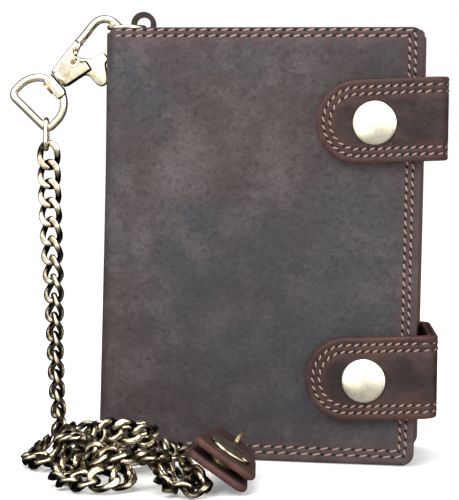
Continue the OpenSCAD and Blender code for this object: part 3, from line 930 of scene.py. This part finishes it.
def cover_line(toward_front):
    """Plan of a cover's leather from the middle of the spine round the fold.

    Returns a function from the distance along it to (point, heading), the distance at which
    the cover's own length starts to count, and the lengths of the half spine and the fold.
    """
    fold = FRONT_FOLD if toward_front else BACK_FOLD
    spine_heading = -math.pi / 2 if toward_front else math.pi / 2
    cover_heading = -REST_OPEN if toward_front else 0.0
    turn = cover_heading - spine_heading
    reach = FOLD_R * math.tan(abs(turn) / 2)
    spine_length = abs(MID_Y - fold.y) - reach
    arc_length = FOLD_R * abs(turn)
    arc_start = Vector((FOLD_X, fold.y + (reach if toward_front else -reach)))

    def at(distance):
        heading = spine_heading
        if distance <= spine_length:
            back = spine_length - distance
            return arc_start - heading_vector(heading).xy * back, heading
        travelled = min(distance - spine_length, arc_length)
        turned_by = turn * travelled / arc_length
        sign = math.copysign(1, turn)
        centre = arc_start + Vector((-math.sin(heading), math.cos(heading))) * (FOLD_R * sign)
        heading += turned_by
        point = centre + Vector((math.sin(heading), -math.cos(heading))) * (FOLD_R * sign)
        rest = distance - spine_length - travelled
        return point + heading_vector(heading).xy * rest, heading

    return at, spine_length + arc_length - reach, spine_length, arc_length


def cover_lean(z):
    """How far the fold leans sideways, as it flares out a little toward the bottom."""
    low = max(0.0, 1 - z / 85)
    return 0.3 * z / WALLET_H - 1.1 * low ** 1.2


def cover_wave(u, z, toward_front):
    """Shallow swells of a used cover."""
    if not toward_front:
        return 0.25 * math.sin(u / 17 + 1) * math.sin(z / 29 + 2)
    swell = 0.3 * math.sin(u / 19 + z / 60) * math.sin(z / 31 + 0.4)
    return swell + 0.12 * math.sin(u / 8 + z / 23)


def notch_top(y):
    """Top edge of the spine, with the notch that the clasp's hook reaches through."""
    off = abs(y - MID_Y)
    if off >= NOTCH_R + 0.05:
        return SPINE_H
    return NOTCH_Z - math.sqrt(max(0.0, NOTCH_R ** 2 - min(off, NOTCH_R) ** 2))


def cover_seam(width, row):
    """Top, side and bottom of one row of a cover's stitching, each with its stitch length."""
    corner = max(CORNER_R - row, 0.3)

    def arc(height, first, last):
        centre = Vector((width - row - corner, height))
        turns = [between(first, last, step / 6) for step in range(7)]
        return [centre + Vector((math.cos(turn), math.sin(turn))) * corner for turn in turns]

    high = arc(WALLET_H - row - corner, math.pi / 2, 0)
    low = arc(row + corner, 0, -math.pi / 2)
    top = [Vector((1.2, WALLET_H - row))] + high[:4]
    side = high[3:] + low[:4]
    bottom = low[3:] + [Vector((1.2, row))]
    return (top, 3.1), (side, 2.45), (bottom, 3.35)


def make_cover(name, toward_front, width, nodes, rows):
    """Leather of one cover, its fold and half of the spine, as one bent skin."""
    at, cover_start, spine_length, arc_length = cover_line(toward_front)
    sign = 1 if toward_front else -1

    def cover_u(s):
        return s - cover_start

    def top(s):
        if s <= spine_length:
            return notch_top(at(s)[0].y)
        share = min(1, (s - spine_length) / arc_length)
        height = between(SPINE_H, WALLET_H, share * share * (3 - 2 * share))
        near = cover_u(s) - (width - CORNER_R)
        if near > 0:
            height -= CORNER_R - math.sqrt(max(0.0, CORNER_R ** 2 - near ** 2))
        return height

    def bottom(s):
        near = cover_u(s) - (width - CORNER_R)
        return CORNER_R - math.sqrt(max(0.0, CORNER_R ** 2 - near ** 2)) if near > 0 else 0.0

    def surface(s, z):
        point, heading = at(s)
        normal = Vector((math.sin(heading), -math.cos(heading), 0)) * sign
        flat = min(1, max(0, (cover_u(s) - 6) / 18)) * min(1, max(0, (width - cover_u(s)) / 10))
        wave = cover_wave(cover_u(s), z, toward_front) * flat
        middle = Vector((point.x, point.y, z)) + normal * wave
        far = min(1, max(0, cover_u(s) / width))
        high = z / WALLET_H
        spread_out = 0.8 * high - 0.9 if toward_front else 0.4 * high
        lean = cover_lean(z) * (1 - 0.75 * far) + spread_out * far
        rise = between(0.4, 0.9, far) * high
        return middle + Vector((lean, 0, rise)), normal

    def border(s, z):
        near_corner = box_border(cover_u(s), z, width, WALLET_H, CORNER_R)
        if cover_u(s) >= width - CORNER_R:
            return near_corner
        return min(near_corner, top(s) - z, z - bottom(s))

    def dent(s, z, distance):
        along = min(1, max(0, (cover_u(s) - 1) / 3))
        return stitch_dent(distance, rows, 0.2) * along

    start = spine_length + arc_length
    columns = spread(0, spine_length, 0.8)[:-1] + spread(spine_length, start, 0.6)[:-1]
    columns += edge_spaced(start, cover_start + width, 2.6, both=False)

    def rows_of(s):
        return edge_spaced(bottom(s), top(s), 2.6)

    build = skin(surface, columns, rows_of, border, LEATHER_T / 2, dent, ends=(False, True))
    piece = build.make(name, HIDE, "hide", "edge", merge=True)
    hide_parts(*nodes)

    def on_leather(spot):
        middle, normal = surface(spot.x + cover_start, spot.y)
        return middle + normal * (LEATHER_T / 2 - THREAD_SINK), normal

    thread_build = Builder()
    hole_build = Builder()
    for row in rows:
        for outline, pitch in cover_seam(width, row):
            stitches(thread_build, hole_build, resample(outline, pitch), on_leather, slant=0.3 * sign)
    sewn = thread_build.make(name + "_stitching", THREAD, None)
    holes = hole_build.make(name + "_needle_holes", HOLE_SHADE, None)
    body = "front" if toward_front else "back"
    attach(sewn, body)
    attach(holes, body)
    return piece


def make_covers():
    front = make_cover("front_leather", True, FRONT_W, ("front_cover", "spine_leather"), SEAM_ROWS)
    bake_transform(front)
    back = make_cover("back_leather", False, BACK_W, ("back_cover",), SEAM_ROWS)
    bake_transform(back)


# ---------------------------------------------------------------- straps


def strap_line(i):
    """Stations of a strap's middle surface from its tip, round the free edge, to the back.

    Each is (distance, point, heading, tilt).
    """
    bend = in_strap(i) @ Vector((0, STRAP_JUNCTION_Y, 0))
    radius = STRAP_BEND_R
    outer_y = BACK_FOLD.y + LEATHER_T / 2 + STRAP_LINING_T
    back_x = max(bend.x, FOLD_X + BACK_W + 0.2 + STRAP_LINING_T)
    slant = math.atan2(back_x - bend.x, outer_y - bend.y)
    front_turn = math.pi / 2 + REST_OPEN - slant
    back_turn = math.pi / 2 + slant
    reach = radius * math.tan(front_turn / 2)
    back_reach = radius * math.tan(back_turn / 2)
    stations = []
    along = heading_vector(-REST_OPEN, STRAP_TILT)
    start = bend - along * STRAP_LEN
    flat_length = STRAP_LEN - reach
    for s in strap_tip_columns(flat_length):
        stations.append((s, start + along * s, -REST_OPEN, STRAP_TILT))
    distance = flat_length
    point = start + along * flat_length
    heading = -REST_OPEN

    def advance(length, turn, tilt_from, tilt_to, count):
        nonlocal distance, point, heading
        for k in range(count):
            share = (k + 0.5) / count
            tilt = between(tilt_from, tilt_to, share)
            middle = heading + turn / count / 2
            step = length / count
            point = point + heading_vector(middle, tilt) * step
            heading += turn / count
            distance += step
            end_tilt = between(tilt_from, tilt_to, (k + 1) / count)
            stations.append((distance, point.copy(), heading, end_tilt))

    advance(radius * front_turn, front_turn, STRAP_TILT, 0, 12)
    side_length = (outer_y - point.y) / math.cos(slant) - back_reach
    advance(side_length, 0, 0, 0, 20)
    advance(radius * back_turn, back_turn, 0, 0, 10)
    advance(STRAP_BACK_LEG, 0, 0, 0, 14)
    return stations


def strap_tip_columns(flat_length):
    """Columns of the tongue: close together round the tip."""
    radius = STRAP_W / 2
    tip = [radius * (1 - math.cos(math.pi / 2 * k / 22)) for k in range(22)]
    return tip + spread(radius, flat_length, 1.2)


def make_strap(i, name):
    stations = strap_line(i)
    total = stations[-1][0]
    radius = STRAP_W / 2

    def station(s):
        for a, b in zip(stations, stations[1:]):
            if s <= b[0] + 1e-9:
                share = (s - a[0]) / (b[0] - a[0]) if b[0] > a[0] else 0
                share = min(1, max(0, share))
                return a[1].lerp(b[1], share), between(a[2], b[2], share), between(a[3], b[3], share)
        return stations[-1][1:]

    def surface(s, v):
        point, heading, tilt = station(s)
        normal = Vector((math.sin(heading), -math.cos(heading), 0))
        up = normal.cross(heading_vector(heading, tilt))
        return point + up * v, normal

    def half_width(s):
        if s < radius:
            return math.sqrt(max(0.0, radius ** 2 - (radius - s) ** 2))
        return radius

    def border(s, v):
        if s < radius:
            return radius - math.hypot(radius - s, v)
        return min(radius - abs(v), total - s)

    def rows_of(s):
        reach = half_width(s)
        return [v / radius * reach for v in edge_spaced(-radius, radius, 1.6)]

    columns = [s[0] for s in stations[:-1]] + [total - d for d in reversed(NEAR_EDGE[:6])]
    columns = sorted(set(round(c, 5) for c in columns))

    def finish(piece):
        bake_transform(piece)

    def hide_dent(s, v, distance):
        snap = math.hypot(s - (STRAP_LEN - SNAP_FROM_BEND), v)
        snap_dent = 0.25 * math.exp(-(((snap - CAP_R - 0.3) / 0.9) ** 2))
        return stitch_dent(distance, STRAP_SEAM_ROWS, 0.22) + snap_dent

    outer = skin(surface, columns, rows_of, border, STRAP_HIDE_T / 2, hide_dent, lift=STRAP_HIDE_T / 2)
    outer = outer.make(name + "_leather", STRAP_HIDE, "strap_hide", "edge", merge=True)
    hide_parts(name, name + "_anchor")
    finish(outer)

    inner = skin(surface, columns, rows_of, border, STRAP_LINING_T / 2, no_dent, lift=-STRAP_LINING_T / 2)
    inner = inner.make(name + "_inner_leather", STRAP_HIDE, "strap_hide", "edge", merge=True)
    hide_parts(name + "_lining")
    finish(inner)

    def on_leather(spot):
        middle, normal = surface(spot.x, spot.y)
        return middle + normal * (STRAP_HIDE_T - THREAD_SINK), normal

    thread_build = Builder()
    hole_build = Builder()
    for row in STRAP_SEAM_ROWS:
        arc = radius - row
        outline = [Vector((total - 3, arc))]
        outline += [Vector((s, arc)) for s in spread(radius, total - 3, 2)[::-1]]
        for k in range(25):
            turn = math.pi / 2 + math.pi * k / 24
            outline.append(Vector((radius + arc * math.cos(turn), arc * math.sin(turn))))
        outline += [Vector((s, -arc)) for s in spread(radius, total - 3, 2)]
        spots = resample(outline, 2.3)
        stitches(thread_build, hole_build, spots, on_leather, slant=0.34, width=0.26)
    finish(thread_build.make(name + "_stitching", THREAD, None))
    finish(hole_build.make(name + "_needle_holes", HOLE_SHADE, None))


def dome_profile(radius, height):
    """A snap cap: a shallow dome that rolls over at its rim."""
    profile = [(0.05, height)]
    for k in range(1, 12):
        r = radius * 0.94 * k / 11
        profile.append((r, height - 0.75 * (r / radius) ** 2 * height * 0.75))
    low = profile[-1][1]
    rim = ((0.985, 0.82), (1.0, 0.5), (0.99, 0.2), (0.95, 0.0))
    return profile + [(radius * out, low * up) for out, up in rim]


def make_cap(name, matrix, radius, height, node, body, material=CAP):
    build = Builder()

    # Painted shade on the rolled-over rim of the cap, where it turns down to the leather.
    def rim_shade(r, h):
        return max(0.0, (r / radius - 0.95) * 8) * 0.8

    turned_shape(build, dome_profile(radius, height), sides=64, value_of=rim_shade)
    piece = build.make(name, material, "snap_cap", "dark_hollows_and_shade", matrix=matrix, angle=math.radians(50))
    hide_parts(node)
    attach(piece, body)


def make_caps():
    outward = Matrix.Rotation(math.radians(90), 4, "X")
    for i, name in enumerate(("strap_upper", "strap_lower")):
        face = STRAP_JUNCTION_Y - STRAP_HIDE_T
        matrix = in_strap(i) @ Matrix.Translation((-SNAP_FROM_BEND, face + 0.1, -0.5)) @ outward
        make_cap(name + "_snap_cap", matrix, CAP_R, 1.75, name + "_cap", name)
    low, high = node_box("coin_flap_cap")
    centre = (low + high) / 2
    matrix = Matrix.Translation((centre.x, low.y + 1.2, centre.z)) @ outward
    make_cap("coin_flap_snap_cap", matrix, 5, 1.2, "coin_flap_cap", "coin_flap")
    matrix = IN_BELT @ Matrix.Translation((BELT_W / 2, BELT_SNAP_U, BELT_END_TOP - 0.1))
    make_cap("belt_flap_snap_cap", matrix, CAP_R, 2.0, "belt_flap_cap", "belt_flap", POLISHED_CAP)


# ---------------------------------------------------------------- belt loop


def belt_half_width(u):
    taper = (BELT_W - BELT_FOLD_W) / 2 * u / BELT_LEN
    half = BELT_W / 2 - taper
    if u < BELT_CORNER_R:
        half -= BELT_CORNER_R - math.sqrt(max(0.0, BELT_CORNER_R ** 2 - (BELT_CORNER_R - u) ** 2))
    return half


def belt_skin(name, plan, total, width_at):
    """A layer of the belt loop, free at its start and on both sides.

    plan(s) gives (u, height, heading) of its middle.
    """

    def surface(s, v):
        u, height, heading = plan(s)
        middle = Vector((BELT_W / 2 + v, u, height))
        normal = Vector((0, -math.sin(heading), math.cos(heading)))
        return middle, normal

    def border(s, v):
        return min(width_at(s) - abs(v), s)

    def rows_of(s):
        reach = width_at(s)
        return [v / (BELT_W / 2) * reach for v in edge_spaced(-BELT_W / 2, BELT_W / 2, 1.6)]

    columns = edge_spaced(0, total, 1.2)
    build = skin(surface, columns, rows_of, border, BELT_T / 2, no_dent, ends=(True, False))
    return build.make(name, STRAP_HIDE, "strap_hide", "edge", matrix=IN_BELT, merge=True)


def make_belt_loop():
    fold_r = (BELT_FOLD_TOP - BELT_T) / 2
    straight = BELT_LEN - BELT_FOLD_TOP / 2
    arc = math.pi * fold_r
    upper = straight - BELT_HINGE_U

    def lower_plan(s):
        if s <= straight:
            return s, BELT_T / 2, 0.0
        turn = min(math.pi, (s - straight) / fold_r)
        centre = BELT_T / 2 + fold_r
        if s <= straight + arc:
            return straight + fold_r * math.sin(turn), centre - fold_r * math.cos(turn), turn
        return straight - (s - straight - arc), BELT_FOLD_TOP - BELT_T / 2, math.pi

    def lower_width(s):
        return belt_half_width(lower_plan(s)[0])

    lower = belt_skin("belt_loop_leather", lower_plan, straight + arc + upper, lower_width)
    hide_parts("belt_loop")
    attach(lower, "front")

    def flap_plan(u):
        low = BELT_END_TOP - BELT_T / 2
        rise = max(0.0, (u - 2 * BELT_SNAP_U) / (BELT_HINGE_U - 2 * BELT_SNAP_U))
        return u, low + (BELT_FOLD_TOP - BELT_END_TOP) * rise, 0.0

    flap = belt_skin("belt_flap_leather", flap_plan, BELT_HINGE_U, belt_half_width)
    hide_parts("belt_flap")
    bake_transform(flap)
    return [lower, flap]


# ---------------------------------------------------------------- clasp and D-ring


def cast(build, name, matrix, soft_edges=False):
    """One antique brass piece; soft_edges smooths every edge instead of keeping hard ones."""
    angle = None if soft_edges else math.radians(60)
    return build.make(name, ANTIQUE, "antique_brass", "dark_hollows_and_shade", matrix=matrix, angle=angle)


def make_hardware():
    """Clasp, trigger and D-ring, as smooth castings and bent wire."""
    depth = Vector((0, 1, 0))

    body = Builder()
    cheek = [
        (0.5, -3.3), (0.35, 3.1), (4.25, 3.97), (8.9, 4.76), (11.8, 5.15), (12.5, 2.7),
        (10.6, 3.3), (9.2, 2.5), (8.4, 0.8), (8.8, -0.6), (10.2, -1.4), (9.6, -4.6),
    ]
    pillow(body, rounded_outline(cheek, 0.7), 2.7, 0.85, shade=2.2)
    hook = [
        (11.2, 4.1), (14.5, 4.5), (18.6, 5.2), (20.9, 4.9), (22.5, 3.7), (23.4, 1.9),
        (23.6, 0.2), (23.2, -1.6), (22, -3.5), (20, -4.8), (17.6, -5.2), (16, -4.6),
    ]
    hook_line = smooth_line([Vector((u, 0, v)) for u, v in hook], 5)
    tube(body, hook_line, lambda share: 1.2 - 0.2 * share, depth, sides=16, flatten=1.15)
    clasp = cast(body, "clasp_body_casting", IN_CLASP)
    collar = Builder()
    profile = [(2.2, -0.1), (2.9, 0.05), (3.15, 0.5), (3.15, 1.2), (2.9, 1.6), (2.5, 2.0), (2.2, 2.6)]
    turned_shape(collar, profile)
    along_clasp = IN_CLASP @ Matrix.Rotation(math.radians(90), 4, "Y")
    collar_piece = cast(collar, "clasp_collar", along_clasp, soft_edges=True)
    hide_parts("clasp_body")
    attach(clasp, "clasp")
    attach(collar_piece, "clasp")

    lever = Builder()
    gate = [
        (4.9, -0.6), (8.6, 1.2), (11.8, -2.4), (15.4, -2.9), (15.4, -5.6), (13.6, -5.7), (12.6, -7.4),
        (11.3, -9.5), (10.2, -10.4), (8.4, -10.2), (7.6, -8.8), (7.6, -4.9), (5.2, -3.4),
    ]
    pillow(lever, rounded_outline(gate, 0.9), 1.3, 0.5, shade=1.2)
    trigger = cast(lever, "clasp_trigger_casting", IN_CLASP)
    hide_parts("clasp_trigger")
    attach(trigger, "trigger")

    ring = Builder()
    bow_r = 7.5
    bar_away = 3.75
    corner_r = 1.8
    path = []
    for k in range(33):
        turn = math.pi / 2 - math.pi * k / 32
        path.append(Vector((bow_r * math.cos(turn), 0, bow_r * math.sin(turn))))
    for centre_v, start in ((corner_r - bow_r, -90), (bow_r - corner_r, 180)):
        for k in range(7):
            turn = math.radians(start - 90 * k / 6)
            u = corner_r - bar_away + corner_r * math.cos(turn)
            path.append(Vector((u, 0, centre_v + corner_r * math.sin(turn))))
    in_d = IN_CLASP @ Matrix.Translation((-8.9, 0, -1.3)) @ Matrix.Rotation(math.radians(-4), 4, "Y")
    dense = resample(path + [path[0]], 0.8)[:-1]
    tube(ring, dense, lambda share: 1.15, depth, sides=16, closed=True)
    d_ring = cast(ring, "d_ring_wire", in_d, soft_edges=True)
    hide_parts("d_ring")
    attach(d_ring, "swivel")
    block = Builder()
    shape = rounded_outline([(-3.9, -4.5), (-1.2, -4.9), (-0.3, -3.5), (-0.3, 2.9), (-3.4, 2.3)], 0.7)
    pillow(block, shape, 2.1, 0.5, shade=1.4)
    boss = Builder()
    boss_r = 1.55
    circle = []
    for k in range(24):
        turn = math.tau * k / 24
        circle.append(Vector((6.9 + boss_r * math.cos(turn), -2.7, 0.8 + boss_r * math.sin(turn))))
    tube(boss, circle, lambda share: 0.24, depth, sides=8, closed=True)
    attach(cast(boss, "clasp_pin_rim", IN_CLASP, soft_edges=True), "clasp")
    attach(cast(block, "d_ring_swivel_block", IN_CLASP), "swivel")


# ---------------------------------------------------------------- everything

make_camera()
make_floor()
make_light()
paint_cad_nodes()
chain, chain_path, chain_length, belt_hardware = make_chain()
belt_leather = make_belt_loop()
make_covers()
make_strap(0, "strap_upper")
make_strap(1, "strap_lower")
make_caps()
make_hardware()
